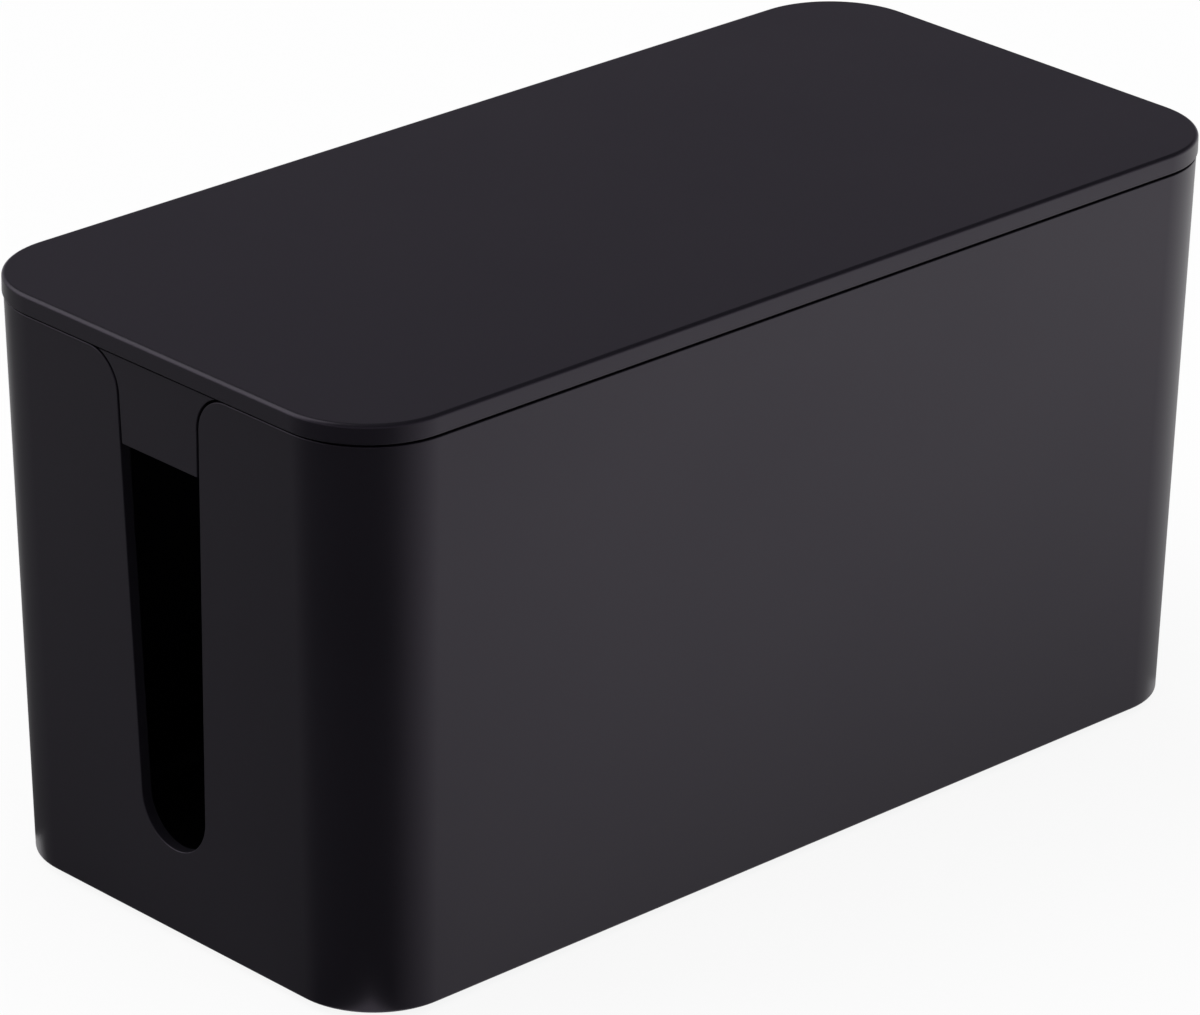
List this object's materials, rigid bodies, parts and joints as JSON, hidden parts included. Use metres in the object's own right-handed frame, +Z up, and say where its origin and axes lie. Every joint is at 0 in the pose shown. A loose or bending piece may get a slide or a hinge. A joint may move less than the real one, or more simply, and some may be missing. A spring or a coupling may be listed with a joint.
{
  "type": "cable management box",
  "caption": "Free-standing moulded box with a lift-off lid, which hides a power strip and spare cord; cords leave through a tall slot in each end, below a tongue on the lid.",
  "frame": {"origin": "on the surface that the feet stand on, under the middle of the box", "axes": "+X along the length of the box, through both cable slots; +Z up through the lid; +Y across the width"},
  "size_m": [0.235, 0.1144, 0.1234],
  "materials": {
    "moulded_abs": "fine moulded texture, satin black",
    "foot_rubber": "matt black elastomer"
  },
  "bodies": {
    "box": {"box_body": "moulded_abs", "foot_front_left": "foot_rubber", "foot_front_right": "foot_rubber", "foot_back_left": "foot_rubber", "foot_back_right": "foot_rubber"},
    "lid": {"lid": "moulded_abs"}
  },
  "joints": [
    {"name": "lid_lift", "type": "slide", "parent": "box", "child": "lid", "axis": [0, 0, 1], "range_m": [0, 0.12]}
  ]
}
